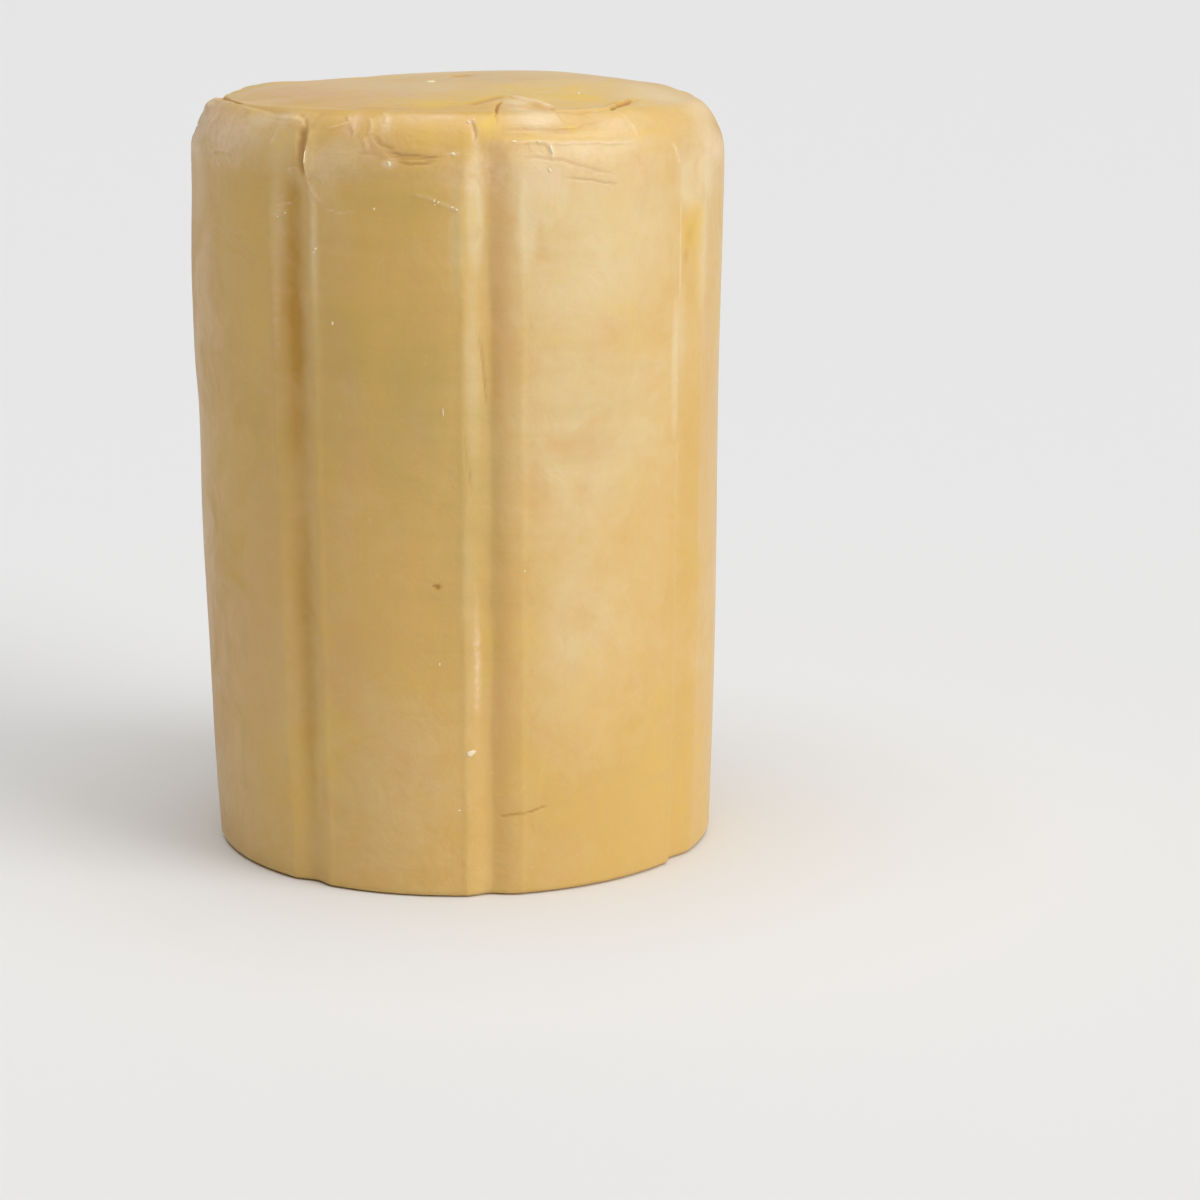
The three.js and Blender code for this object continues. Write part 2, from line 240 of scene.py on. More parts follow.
# Waves of a flake's edge, two and three to a turn, and the turn from one flake to the next
TWO_WAVES = 0.2
THREE_WAVES = 0.14
FLAKE_TURN = 7.3
# Rings of a flake from its underside over its edge: how far out, and level as a share of rise
FLAKE_RINGS = [(0.7, -0.7), (1.0, -0.3), (0.92, 0.35), (0.65, 0.8), (0.3, 0.97)]

# Zones of colour: bearing, run, reach round the body in degrees, reach along the run, strength.
# The cream zones are partly the skin's paler tone and partly painted sheen on the shoulders and
# dome
CREAM_AND_SHEEN_ZONES = [
    (32, 300, 24, 62, 0.95), (19, 322, 9, 24, 1.3), (16, 312, 3, 26, 1.7), (30, 215, 21, 70, 0.9),
    (27, 120, 18, 60, 0.6), (5.2, 316, 2.0, 28, 1.5), (4.3, 122, 1.6, 24, 0.6),
    (4.4, 240, 2.0, 60, 0.9), (3.2, 140, 2.0, 60, 0.6), (1.6, 305, 1.8, 34, 0.7),
    (-20, 60, 50, 50, 0.25), (30, 340, 20, 8, 1.1), (68, 338, 9, 12, 1.0), (-60, 342, 20, 9, 1.0),
    (-38, 341, 4, 11, 0.9), (65.5, 296, 2.8, 40, 0.9), (68, 378, 22, 26, 0.8),
    (-68, 348, 16, 8, 0.9), (-45, 350, 5, 5, 1.4), (24, 379, 14, 8, 0.7), (46, 402, 36, 18, 0.9),
    (26, 322, 16, 10, 0.6), (62, 322, 9, 14, 1.5), (54, 242, 1.6, 36, 1.0), (19, 354, 6, 9, 1.4),
    (18.5, 376, 4.5, 6, 1.6), (37, 345, 12, 7, 0.8), (46, 352, 5, 9, 0.4),
    (-20, 420, 60, 30, 0.5), (180, 420, 110, 30, 0.5), (58, 331, 9, 16, 0.5),
    (60, 252, 7, 26, 0.3), (-21, 349, 1.6, 8, 0.9), (-38, 351, 5, 5, 1.0), (-20, 338, 9, 6, 0.6),
    (-38, 304, 1.7, 20, 0.9), (24, 366, 5, 5, 0.6), (74, 335, 8, 8, 0.8), (58, 254, 3, 24, 0.7),
    (72, 350, 12, 12, 0.8), (-5, 356, 8, 4, 0.5), (-16, 339.5, 1.6, 6, 0.8),
    (-13.4, 351, 1.4, 8, 0.7), (-12, 333.7, 1.6, 2.4, 1.2), (-21, 237.5, 1.7, 6, 0.5),
    (-11, 241, 1.2, 7, 0.4), (-6.5, 222, 1.5, 9, 0.5), (-26, 330, 3, 12, 0.5),
    (-28.8, 300, 1.0, 40, 0.8), (120, 290, 20, 60, 0.5), (170, 200, 24, 60, 0.5),
    (214, 320, 20, 40, 0.6), (255, 110, 18, 60, 0.4), (180, 378, 60, 20, 0.6),
]
BUTTER_ZONES = [
    (-8, 379, 12, 12, 1.0), (36, 382, 17, 14, 1.1), (9, 384, 6, 7, 0.8), (-26, 356, 9, 12, 0.4),
    (8.4, 352, 3.4, 8, 1.1), (-4.0, 348, 2.4, 8, 0.7), (-4.6, 346, 4, 9, 0.5),
    (-37.5, 341, 4, 9, 0.8), (77, 255, 6, 44, 0.7), (64, 300, 3, 40, 0.5), (48, 364, 12, 9, 0.7),
    (14, 392, 28, 14, 0.7), (42, 400, 36, 22, 1.1), (-14, 275, 16, 50, 0.3),
    (-12, 330, 10, 16, 0.3), (2.2, 285, 1.6, 50, 0.1), (4.0, 343, 1.4, 9, 0.5),
    (60, 297, 2.6, 11, 0.6), (-44, 250, 8, 50, 0.3), (-60, 150, 10, 60, 0.3),
    (73, 290, 9, 34, 0.3), (26, 343.6, 20, 2.4, 0.8), (26.5, 347.4, 1.4, 1.6, 1.4),
    (22, 284, 4, 8, 0.4), (-30, 60, 8, 30, 0.4), (150, 300, 16, 40, 0.6), (200, 120, 18, 60, 0.5),
    (262, 220, 16, 50, 0.4), (150, 372, 20, 14, 0.6), (232, 380, 20, 14, 0.6),
]
BLUSH_ZONES = [
    (-62, 270, 12, 50, 0.35), (-70, 95, 14, 80, 0.5), (-38, 290, 3, 40, 0.5),
    (10.5, 280, 2.6, 70, 0.7), (10.5, 130, 2.6, 80, 0.6), (-50, 120, 12, 60, 0.5),
    (23, 368, 5, 6, 0.6), (-14, 335, 5, 8, 0.5), (30, 206, 8, 10, 0.4), (75, 230, 8, 40, 0.5),
    (34, 262, 5, 12, 0.3), (-52, 388, 44, 22, 1.1), (-68, 350, 14, 9, 0.7),
    (50, 402, 44, 18, 0.6), (-21, 237.5, 1.9, 7, 1.0), (-11, 241, 1.4, 8, 0.9),
    (-6.5, 222, 1.6, 10, 0.8), (-20, 205, 4, 18, 0.5), (-21, 349, 1.8, 8, 0.9),
    (-16, 339, 1.6, 6, 0.9), (-44, 160, 4, 30, 0.5), (-24, 110, 5, 30, 0.5),
    (-12, 60, 6, 24, 0.4), (110, 240, 20, 50, 0.6), (185, 90, 16, 60, 0.6),
    (238, 200, 18, 50, 0.6),
]
# Honey zones: darker amber down the left of the body, and painted shade in the groove troughs
HONEY_AND_SHADE_ZONES = [
    (-67, 160, 17, 200, 0.5), (-84, 250, 24, 90, 0.75), (-86, 110, 22, 110, 0.7),
    (-34.6, 258, 3.2, 62, 1.3), (-33.6, 310, 2.2, 26, 0.8), (-34.2, 120, 3.0, 80, 0.7),
    (-56, 225, 9, 50, 0.4), (-45, 215, 6, 22, 0.3), (-38, 240, 3, 26, 0.4),
    (-76, 325, 9, 16, 0.4), (9.2, 250, 1.7, 36, 0.6), (9.8, 165, 1.8, 110, 0.2),
    (76, 262, 8, 60, 0.3), (-50, 374, 20, 8, 0.25), (-16, 365, 12, 4, 0.4),
    (60.4, 296, 1.2, 4, 0.5), (59.4, 287, 0.9, 5, 0.5), (-88, 200, 16, 160, 0.5),
    (104, 200, 3, 120, 0.5), (147, 220, 3, 110, 0.5), (190, 200, 3, 110, 0.5),
    (233, 200, 3, 110, 0.5), (-84, 200, 3, 110, 0.5),
]
# Painted highlights: pale spots and patches where the shoulders, raised ridges and wax beads
# catch the light
PAINTED_HIGHLIGHT_ZONES = [
    (16.5, 366, 3, 5, 0.5), (20, 331, 26, 9, 0.3), (72, 335, 8, 7, 0.5), (-24, 334, 8, 7, 0.3),
    (-75, 345, 16, 11, 1.0), (-58, 342, 12, 11, 0.8), (20, 353, 5, 6, 0.35),
    (37, 349, 4, 4, 0.35), (4.6, 352, 0.8, 1.6, 0.7), (5.4, 345, 0.6, 4, 0.6),
    (-30.4, 335, 0.5, 3.5, 0.8), (-12, 333.8, 1.2, 1.4, 0.6), (0.9, 337.6, 1.2, 0.9, 0.6),
    (5.0, 110, 0.7, 22, 0.5), (-2, 356, 5, 1.6, 0.2), (-20.6, 350, 0.5, 5, 0.6),
    (-39, 270, 0.9, 26, 0.2), (17.6, 375, 3.2, 5, 0.4), (-39, 350, 3, 3, 0.5),
    (74, 349, 8, 8, 0.3), (150, 350, 14, 8, 0.3), (215, 346, 12, 8, 0.3),
]
# Olive zones: partly a darker olive tone, partly painted shade on the middle of the front wall
# below its brighter top
OLIVE_AND_SHADE_ZONES = [
    (-6, 232, 11, 62, 0.9), (-22, 245, 12, 48, 0.6), (-8, 318, 12, 14, 0.6),
    (1.2, 292, 1.6, 40, 0.35), (3, 190, 9, 90, 0.8), (-38.5, 235, 2.4, 70, 0.6),
    (-24, 262, 4, 20, 0.3), (32, 222, 16, 30, 0.3), (-46, 200, 6, 40, 0.3),
    (-9, 329, 13, 3.5, 0.5), (-20, 331, 8, 4, 0.4), (-12, 292, 10, 16, 0.4),
    (13, 235, 2, 30, 0.4), (125, 190, 12, 60, 0.6), (210, 240, 14, 60, 0.6),
    (166, 120, 10, 50, 0.5),
]


def turned(bearing, middle):
    """Signed angle from middle to bearing, in degrees within half a turn."""
    return (bearing - middle + 540.0) % 360.0 - 180.0


def smooth(value):
    """The cubic ease from 0 to 1, flat at both ends."""
    value = np.clip(value, 0.0, 1.0)
    return value * value * (3.0 - 2.0 * value)


def body_outline(bearing, run):
    """Radius and height of the plain body.

    The wall widens from the foot with a power of the height, on a quarter-circle fillet. The
    shoulder is a quarter ellipse. The dome falls with a power of the radius, leans over
    sideways as a sine, and drops towards the back as half of one minus the cosine.
    """
    angle = np.radians(bearing)
    below = np.clip(1 - run / WIDEST_HEIGHT, 0, 1)
    corner = np.clip(1 - run / FOOT_FILLET, 0, 1)
    fillet = FOOT_FILLET * (1 - np.sqrt(1 - corner**2))
    wall = RADIUS - FOOT_LOSS * below**TAPER_POWER - fillet
    quarter = np.clip((run - WALL_HEIGHT) / SHOULDER_RUN, 0, 1)
    shoulder = RIM_RADIUS + SHOULDER_IN * np.cos(quarter * math.pi / 2)
    top = np.clip(FULL_RUN - run, 0, RIM_RADIUS)
    radius = np.where(run < WALL_HEIGHT, wall, np.where(run < RIM_RUN, shoulder, top))
    reach = np.minimum(radius / RIM_RADIUS, 1)
    dome = DOME_RISE * (1 - reach**DOME_POWER)
    lean = DOME_LEAN * np.sin(angle) * np.sin(math.pi * reach)
    drop = BACK_DROP * (1 - np.cos(angle)) / 2 * reach**2 * quarter
    height = WALL_HEIGHT + SHOULDER_UP * np.sin(quarter * math.pi / 2) + dome + lean - drop
    return radius, np.where(run < WALL_HEIGHT, run, height)


def path_offset(bearing, run, scale, path):
    """Distance over the skin to a path of (bearing, run) points in mm, above zero on its left,
    and how far along the path the nearest point is, from 0 to 1.

    Each stretch is a straight line in the plane of arc length and run; the nearest point is
    the projection on it, clamped to its ends, and the cross product gives the side.
    """
    places = np.array(path) * (math.radians(RADIUS), 1)
    lengths = np.hypot(*np.diff(places, axis=0).T)
    marks = np.concatenate([[0], np.cumsum(lengths)]) / lengths.sum()
    nearest = np.full(bearing.shape, 1e9)
    side = np.ones(bearing.shape)
    mark = np.zeros(bearing.shape)
    for i, ((b0, r0), (b1, r1)) in enumerate(zip(path[:-1], path[1:])):
        ax, ay = turned(b0, bearing) * scale, r0 - run
        dx, dy = turned(b1, b0) * scale, r1 - r0
        along = np.clip(-(ax * dx + ay * dy) / (dx * dx + dy * dy + 1e-9), 0, 1)
        distance = np.hypot(ax + along * dx, ay + along * dy)
        closer = distance < nearest
        side = np.where(closer, np.sign(dy * ax - dx * ay), side)
        mark = np.where(closer, marks[i] + along * (marks[i + 1] - marks[i]), mark)
        nearest = np.minimum(nearest, distance)
    return nearest * side, mark


def groove_depth(bearing, run):
    """Depth of the grooves: on each side (1 - distance^a)^b, the distance a fraction of the way
    from the trough to the edge, times an ease that ends in an arch, less a low bead just
    outside each edge. The groove wavers sideways as two sines of the run."""
    depth = np.zeros(bearing.shape)
    for trough, most, end, left, right, left_form, right_form in GROOVES:
        waver = LONG_WAVER[0] * np.sin(run / LONG_WAVER[1] + trough)
        waver += SHORT_WAVER[0] * np.sin(run / SHORT_WAVER[1] + 2 * trough)
        offset = turned(bearing, trough) + waver
        on_left = offset < 0
        reach = np.where(on_left, left, right)
        side = np.minimum(np.abs(offset) / reach, 1)
        near, far = (np.where(on_left, left_form[i], right_form[i]) for i in (0, 1))
        fade = smooth((end - GROOVE_ARCH * side**2 - run) / GROOVE_FADE)
        depth += most * (1 - side**near) ** far * fade
        beyond = np.abs(offset) - reach
        depth -= BEAD_RISE * np.exp(-(((beyond - BEAD_OUT) / BEAD_REACH) ** 2)) * fade
    return depth


def furrows(bearing, run, scale, table):
    """Summed depth of the furrows in a table, each an ease of the distance to its path that
    narrows to both tips, less the raised side, which fades as exp(-distance^2), and the
    largest amber tint, partly painted shade in the fold, and the largest painted highlight."""
    depth, amber_and_shade, painted_highlight = (np.zeros(bearing.shape) for _ in range(3))
    for path, first, last, most, tint, lift in table:
        offset, along = path_offset(bearing, run, scale, path)
        tips = smooth(along / TIP) * smooth((1 - along) / TIP)
        width = (first + (last - first) * along) * (TIP_WIDTH + (1 - TIP_WIDTH) * tips)
        inside = smooth(1 - 2 * np.abs(offset) / width) * tips
        depth += most * inside
        amber_and_shade = np.maximum(amber_and_shade, np.minimum(tint * inside, 1))
        painted_highlight = np.maximum(painted_highlight, -tint * inside)
        if lift:
            towards = smooth(0.5 + np.sign(lift) * offset / width)
            depth -= abs(lift) * towards * np.exp(-((offset / SIDE_REACH) ** 2)) * tips
    return depth, amber_and_shade, painted_highlight


def zone_strength(bearing, run, table):
    """Largest of the soft ellipses in a table at each place: strength times exp(-distance^2)."""
    total = np.zeros(bearing.shape)
    for middle, height, wide, tall, strength in table:
        spread = (turned(bearing, middle) / wide) ** 2 + ((run - height) / tall) ** 2
        total = np.maximum(total, strength * np.exp(-spread))
    return total


def skin_surface(bearing, run, above=0.0):
    """Points of the finished skin in mm, or above it: the body plus its relief along the
    outline's normal.

    The relief is the sum of Gaussian swells minus grooves, folds and creases. Folds and creases
    tremble a little, as sines of the bearing and run. The normal lies level on the wall and
    turns up over the shoulder.
    """
    radius, height = body_outline(bearing, run)
    low = body_outline(bearing, run - NORMAL_STEP)
    high = body_outline(bearing, np.minimum(run + NORMAL_STEP, FULL_RUN))
    out, up = high[1] - low[1], low[0] - high[0]
    length = np.hypot(out, up)
    level = run <= WALL_HEIGHT
    out, up = np.where(level, 1, out / length), np.where(level, 0, up / length)

    swell = np.zeros(bearing.shape)
    for middle, at, rise, reach in SWELLS:
        across = np.radians(turned(bearing, middle)) * RADIUS
        swell += rise * np.exp(-(across**2 + (run - at) ** 2) / reach**2)
    swell *= np.clip(radius / RIM_RADIUS, 0, 1)

    scale = np.radians(1) * radius
    around = bearing + TREMBLE * np.sin(1.1 * run + 0.6 * bearing) / scale.clip(1)
    along = run + TREMBLE * (np.sin(1.3 * bearing + 0.3 * run) + 0.4 * np.sin(3.1 * bearing))
    folds, amber_and_shade, painted_highlight = furrows(around, along, scale, FOLDS + CREASES)
    shift = swell - groove_depth(bearing, run) - folds + above
    angle = np.radians(bearing)
    reach = radius + shift * out
    points = np.stack([reach * np.sin(angle), -reach * np.cos(angle), height + shift * up], -1)
    return points, amber_and_shade, painted_highlight


def stepped(stretches):
    """Values along a line: for each (start, end, step) even steps from start, without the end."""
    parts = []
    for start, end, step in stretches:
        count = max(1, round((end - start) / step))
        parts.append(np.linspace(start, end, count, endpoint=False))
    return np.concatenate(parts)


# Mesh steps: round the body in degrees and along the run in mm, finer where the skin is folded
COLUMN_STRETCHES = [
    (-180, -75, 1.9), (-75, -42, 0.85), (-42, -27, 0.3), (-27, 2, 0.5), (2, 13, 0.33),
    (13, 46, 0.42), (46, 66, 0.6), (66, 180, 1.9),
]
RUN_STRETCHES = [
    (0, FOOT_FILLET, 0.6), (FOOT_FILLET, 35, 4), (35, 45, 0.8), (45, 142, 5), (142, 152, 1),
    (152, 302, 5), (302, 309, 1.8), (309, 324, 0.9), (324, 362, 0.62), (362, 388, 0.9),
    (388, 400, 1.8), (400, FULL_RUN - 1, 4.5),
]
# Rings of the flat foot, as shares of its outline
FOOT_RINGS = (0.35, 0.7, 0.93, 0.985)


def grid_mesh(name, rings, first_poles, last_poles):
    """One mesh of closed bodies from rings of points, (bodies, rows, columns, 3) in metres,
    each capped by two poles.

    Seen from outside the last pole, columns run anticlockwise, so faces point outwards.
    """
    bodies, rows, columns = rings.shape[:3]
    count = bodies * rows * columns
    points = np.concatenate([rings.reshape(-1, 3), first_poles, last_poles])
    at = np.arange(count).reshape(bodies, rows, columns)
    right = np.roll(at, -1, axis=2)
    quads = np.stack([at[:, :-1], right[:, :-1], right[:, 1:], at[:, 1:]], -1).reshape(-1, 4)
    pole = np.repeat(count + np.arange(bodies)[:, None], columns, axis=1)
    below = np.stack([pole, right[:, 0], at[:, 0]], -1).reshape(-1, 3)
    over = np.stack([pole + bodies, at[:, -1], right[:, -1]], -1).reshape(-1, 3)
    mesh = bpy.data.meshes.new(name)
    mesh.from_pydata(points.tolist(), [], quads.tolist() + below.tolist() + over.tolist())
    mesh.polygons.foreach_set("use_smooth", np.ones(len(mesh.polygons), dtype=bool))
    mesh.update()
    piece = bpy.data.objects.new(name, mesh)
    bpy.context.collection.objects.link(piece)
    return piece


def store(piece, name, values):
    """Writes one number per vertex, which the material reads by name."""
    layer = piece.data.attributes.new(name, "FLOAT", "POINT")
    full = np.zeros(len(piece.data.vertices))
    full[: len(values)] = values
    layer.data.foreach_set("value", full)


def make_cheese():
    """The skin: rings of the flat foot, scaled down from the first ring, then the outline."""
    columns = stepped(COLUMN_STRETCHES)
    runs = stepped(RUN_STRETCHES)
    bearing, run = np.meshgrid(columns, runs)
    points, amber_and_shade, painted_highlight = skin_surface(bearing, run)
    crown = skin_surface(np.zeros((1, 1)), np.full((1, 1), FULL_RUN))[0][0, 0]
    low, high = points.min(axis=(0, 1)), points.max(axis=(0, 1))
    origin = np.array([(low[0] + high[0]) / 2, (low[1] + high[1]) / 2, 0.0])
    foot = points[0] * np.array(FOOT_RINGS)[:, None, None]
    rings = (np.concatenate([foot, points]) - origin) * MM
    poles = np.array([-origin, crown - origin]) * MM
    piece = grid_mesh("cheese_skin", rings[None], poles[:1], poles[1:])

    fields = {
        "amber_and_shade": amber_and_shade,
        "painted_highlight": np.maximum(painted_highlight, zone_strength(bearing, run, PAINTED_HIGHLIGHT_ZONES)),
        "cream_and_sheen": zone_strength(bearing, run, CREAM_AND_SHEEN_ZONES),
        "butter": zone_strength(bearing, run, BUTTER_ZONES),
        "blush": zone_strength(bearing, run, BLUSH_ZONES),
        "honey_and_shade": zone_strength(bearing, run, HONEY_AND_SHADE_ZONES),
        "olive_and_shade": zone_strength(bearing, run, OLIVE_AND_SHADE_ZONES),
    }
    blank = np.zeros(len(FOOT_RINGS) * len(columns))
    for name, values in fields.items():
        store(piece, name, np.concatenate([blank, values.ravel()]))
    return piece, origin


def make_flakes_and_glints(origin):
    """Flakes and beads of wax: low mounds on ovals whose edge waves as two sines, set in the skin
    along the outline's normal, those out of sight scattered from a seeded generator. The beads
    set at glint spots stand in for glints, so their pale colour is painted highlight."""
    rng = np.random.default_rng(FLAKE_SEED)
    hidden = rng.uniform(LEAST_FLAKE, MOST_FLAKE, (HIDDEN_FLAKES, len(MOST_FLAKE)))
    flakes_and_glints = np.concatenate([np.array(FLAKES_AND_GLINTS), hidden])
    middle, height, wide, tall, rise = flakes_and_glints.T[:, :, None, None]
    out, level = np.array(FLAKE_RINGS).T[:, None, :, None]
    turn = np.linspace(0, 2 * math.pi, FLAKE_COLUMNS, endpoint=False)
    phase = FLAKE_TURN * np.arange(len(flakes_and_glints))[:, None, None]
    edge = 1 + TWO_WAVES * np.sin(2 * turn + phase) + THREE_WAVES * np.sin(3 * turn + 2 * phase)
    scale = math.radians(1) * body_outline(middle, height)[0]
    bearing = middle + wide * out * edge * np.cos(turn) / scale
    run = height + tall * out * edge * np.sin(turn)
    points = skin_surface(bearing, run, rise * level)[0]
    middle, height, rise = middle[:, 0, 0], height[:, 0, 0], rise[:, 0, 0]
    poles = [skin_surface(middle, height, rise * at)[0] for at in (FLAKE_RINGS[0][1], 1)]
    rings, under, top = ((shape - origin) * MM for shape in (points, *poles))
    return grid_mesh("wax_flakes_and_glints", rings, under, top)


# Materials


class Field:
    """A number that varies over the surface, with arithmetic that adds Math nodes."""

    def __init__(self, paint, socket):
        self.paint = paint
        self.socket = socket

    def math(self, operation, *others, clamp=False):
        """A Math node on this number and others."""
        return self.paint.math(operation, self, *others, clamp=clamp)

    def __add__(self, other):
        return self.math("ADD", other)

    def __sub__(self, other):
        return self.math("SUBTRACT", other)

    def __mul__(self, other):
        return self.math("MULTIPLY", other)

    def __rsub__(self, other):
        return self.paint.math("SUBTRACT", other, self)

    __radd__ = __add__
    __rmul__ = __mul__

    def clamped(self):
        """Held between 0 and 1."""
        return self.math("ADD", 0.0, clamp=True)

    def between(self, low, high):
        """0 below low, 1 above high and a smooth ease between."""
        made = self.paint.node(
            "ShaderNodeMapRange",
            {"interpolation_type": "SMOOTHSTEP"},
            {"Value": self, "From Min": low, "From Max": high},
        )
        return Field(self.paint, made.outputs["Result"])


class Paint:
    """A material under construction."""

    def __init__(self, name):
        self.material = bpy.data.materials.new(name)
        self.material.use_nodes = True
        self.tree = self.material.node_tree
        self.tree.nodes.clear()
        place = self.node("ShaderNodeTexCoord")
        self.place = place.outputs["Object"]

    def node(self, kind, settings=None, values=None):
        """A node of a kind, with its own settings and its sockets' values or links."""
        made = self.tree.nodes.new(kind)
        for key, value in (settings or {}).items():
            setattr(made, key, value)
        for key, value in (values or {}).items():
            socket = made.inputs[key]
            if isinstance(value, Field):
                value = value.socket
            if isinstance(value, bpy.types.NodeSocket):
                self.tree.links.new(value, socket)
            else:
                socket.default_value = value
        return made

    def math(self, operation, *values, clamp=False):
        """A Math node on fields and numbers."""
        settings = {"operation": operation, "use_clamp": clamp}
        made = self.node("ShaderNodeMath", settings, dict(enumerate(values)))
        return Field(self, made.outputs[0])

    def attribute(self, name):
        """A number stored on the vertices of the piece."""
        made = self.node("ShaderNodeAttribute", {"attribute_name": name})
        return Field(self, made.outputs["Fac"])

    def stretched(self, scale):
        """The place on the piece with its axes scaled."""
        made = self.node("ShaderNodeMapping", {}, {"Vector": self.place, "Scale": scale})
        return made.outputs["Vector"]

    def noise(self, scale, detail=3.0, rough=0.5, stretch=None, warp=0.0):
        """Noise from 0 to 1; scale is in features per metre, stretch scales the axes."""
        vector = self.stretched(stretch) if stretch else self.place
        made = self.node(
            "ShaderNodeTexNoise",
            {},
            {
                "Vector": vector,
                "Scale": scale,
                "Detail": detail,
                "Roughness": rough,
                "Distortion": warp,
            },
        )
        return Field(self, made.outputs["Fac"])

    def blend(self, factor, first, second):
        """Colour from first to second by a factor."""
        colours = {0: factor, 6: first, 7: second}
        made = self.node("ShaderNodeMix", {"data_type": "RGBA"}, colours)
        return made.outputs[2]

    def finish(self, values, bumps=()):
        """The Principled shader with bumps in a chain: (height field, distance in metres)."""
        normal = None
        for height, distance in bumps:
            inputs = {"Height": height, "Distance": distance, "Strength": 1.0}
            if normal is not None:
                inputs["Normal"] = normal
            normal = self.node("ShaderNodeBump", {}, inputs).outputs["Normal"]
        if normal is not None:
            values = {**values, "Normal": normal}
        shader = self.node("ShaderNodeBsdfPrincipled", {}, values)
        out = self.node("ShaderNodeOutputMaterial")
        self.tree.links.new(shader.outputs[0], out.inputs["Surface"])
        return self.material


# Colours

STRAW = (0.750, 0.475, 0.140, 1)
# Also the colour of the painted sheen on the shoulders and dome
CREAM = (0.845, 0.650, 0.355, 1)
BUTTER = (0.830, 0.545, 0.100, 1)
BLUSH = (0.740, 0.430, 0.175, 1)
# Also the colour of the painted shade in the groove troughs
HONEY = (0.580, 0.300, 0.035, 1)
# Also the colour of the painted shade on the middle of the front wall
OLIVE = (0.600, 0.405, 0.115, 1)
# Amber of the cracks, also painted shade at the bottoms of folds
AMBER = (0.430, 0.170, 0.025, 1)
PALE = (0.860, 0.660, 0.380, 1)
# Colour of the painted highlights
PAINTED_HIGHLIGHT = (0.960, 0.700, 0.450, 1)
# Pale wax of the flakes, and painted highlight on the beads set at glint spots
WAX_AND_GLINT = (0.930, 0.820, 0.570, 1)
FLOOR = (0.860, 0.860, 0.860, 1)


def cheese_skin_material():
    """Waxy straw-yellow skin with a soft shine: zones of butter yellow and blush; pale zones that
    are partly painted sheen on the shoulders and dome; greenish-yellow zones that are partly
    painted shade on the middle of the front wall; deep amber zones down the left of the body
    and, as painted shade, in the groove troughs; all broken up by clouds, faint upright streaks
    and level lines, pale specks, dotted painted highlights, and amber in the cracks and fold
    bottoms that is partly painted shade."""
    paint = Paint("cheese_skin")
    clouds = paint.noise(13, 3, 0.55, warp=0.4)
    patches = paint.noise(36, 4, 0.6, warp=0.8)
    dapples = paint.noise(95, 3, 0.6, warp=0.6)
    grain = paint.noise(260, 3, 0.6)
    upright = paint.noise(60, 3, 0.55, stretch=(1, 1, 0.09))
    level = paint.noise(90, 3, 0.6, stretch=(0.12, 0.12, 1))
    amber_and_shade = paint.attribute("amber_and_shade")

    def zone(name, reach):
        """A stored zone, broken up by the patches."""
        return paint.attribute(name) * (reach + (patches - 0.5) * 1.2)

    # Cream mix: partly paler tone, partly painted sheen
    creaming_and_sheen = zone("cream_and_sheen", 0.9) + (0.47 - clouds) * 0.8 + (dapples - 0.5) * 0.5
    yellowing = zone("butter", 0.8) + (clouds - 0.55) * 1.0 + (patches - 0.52) * 1.3
    reddening = zone("blush", 0.8) + (upright - 0.52) * 0.9 + (0.46 - patches) * 1.1
    # Olive mix: partly painted shade
    darker = zone("olive_and_shade", 0.85) + (level - 0.6) * 0.6
    # Honey mix: painted shade in the groove troughs
    deeper = zone("honey_and_shade", 0.85) + (patches - 0.6) * 0.7 + (dapples - 0.6) * 0.4
    colour = paint.blend(creaming_and_sheen.clamped(), STRAW, CREAM)
    colour = paint.blend(reddening.clamped(), colour, BLUSH)
    colour = paint.blend(yellowing.clamped(), colour, BUTTER)
    colour = paint.blend(darker.clamped(), colour, OLIVE)
    colour = paint.blend(deeper.clamped(), colour, HONEY)
    colour = paint.blend(grain.between(0.62, 0.78) * 0.18, colour, PALE)
    # Painted highlights, broken into dots by the grain
    painted_highlight = paint.attribute("painted_highlight") * (grain * 3.2 - 0.75 + dapples * 0.3)
    colour = paint.blend(painted_highlight.clamped(), colour, PAINTED_HIGHLIGHT)
    # Amber at the bottoms of cracks and folds: partly their own colour, partly painted shade
    colour = paint.blend(amber_and_shade, colour, AMBER)

    roughness = 0.36 + (patches - 0.5) * 0.3 + (grain - 0.5) * 0.12 + amber_and_shade * 0.15
    waves = level * 0.5 + upright * 0.5
    return paint.finish(
        {
            "Base Color": colour,
            "Roughness": roughness,
            "IOR": 1.4,
            "Subsurface Weight": 0.25,
            "Subsurface Radius": (0.012, 0.006, 0.002),
            "Subsurface Scale": 1.0,
            "Coat Weight": 0.1,
            "Coat Roughness": 0.32,
        },
        bumps=((waves, 0.0007), (patches, 0.0009), (dapples, 0.0003), (grain, 0.0001)),
    )


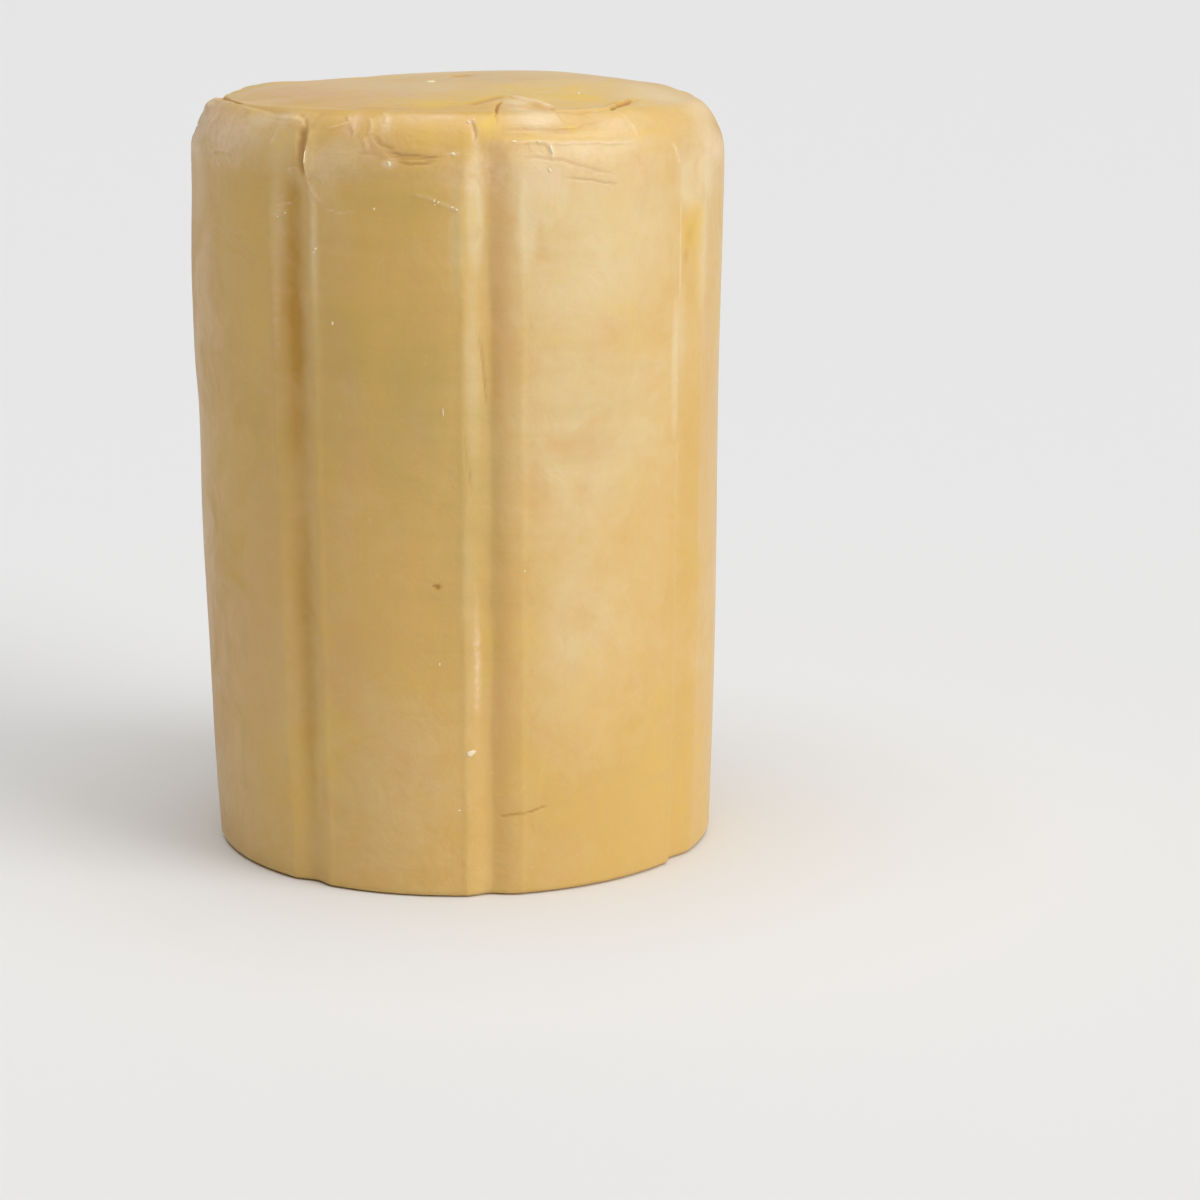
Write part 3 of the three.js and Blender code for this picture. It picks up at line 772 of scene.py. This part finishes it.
def wax_flake_and_glint_material():
    """Pale wax, faintly clouded; on the beads set at glint spots this pale colour is painted
    highlight.
    """
    paint = Paint("wax_flake_and_glint")
    colour = paint.blend(paint.noise(220, 2, 0.5) * 0.5, WAX_AND_GLINT, CREAM)
    return paint.finish({"Base Color": colour, "Roughness": 0.42})


def floor_material():
    """Plain matt pale grey."""
    paint = Paint("floor")
    return paint.finish({"Base Color": FLOOR, "Roughness": 0.9})


# Pieces

skin, body_origin = make_cheese()
skin.data.materials.append(cheese_skin_material())
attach(skin, "root")
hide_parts("cheese")

flakes_and_glints = make_flakes_and_glints(body_origin)
flakes_and_glints.data.materials.append(wax_flake_and_glint_material())
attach(flakes_and_glints, "root")


# Stage and light

# Lamps: bearing it shines from, height above the floor, spread in degrees, strength
LAMPS = {
    "key": (60, 26, 40, 1.56),
    "top": (0, 85, 60, 1.75),
    "back": (180, 14, 36, 0.13),
}
ROOM_LIGHT = 0.162


def add_floor():
    """A wide flat sheet under the cheese."""
    half = 40.0
    mesh = bpy.data.meshes.new("floor")
    corners = [(-half, -half, 0), (half, -half, 0), (half, half, 0), (-half, half, 0)]
    mesh.from_pydata(corners, [], [(0, 1, 2, 3)])
    floor = bpy.data.objects.new("floor", mesh)
    bpy.context.collection.objects.link(floor)
    mesh.materials.append(floor_material())


def add_light():
    """Broad soft lamps from the right, above and behind, in a dim plain room."""
    world = bpy.data.worlds.new("room")
    world.use_nodes = True
    world.node_tree.nodes["Background"].inputs["Color"].default_value = (1, 1, 1, 1)
    world.node_tree.nodes["Background"].inputs["Strength"].default_value = ROOM_LIGHT
    bpy.context.scene.world = world
    for name, (bearing, up, spread, strength) in LAMPS.items():
        data = bpy.data.lights.new(name, "SUN")
        data.angle = math.radians(spread)
        data.energy = strength
        lamp = bpy.data.objects.new(name, data)
        lamp.rotation_euler = (math.radians(90 - up), 0, math.radians(bearing))
        bpy.context.collection.objects.link(lamp)


add_floor()
add_light()
bpy.context.scene.view_settings.view_transform = "Standard"
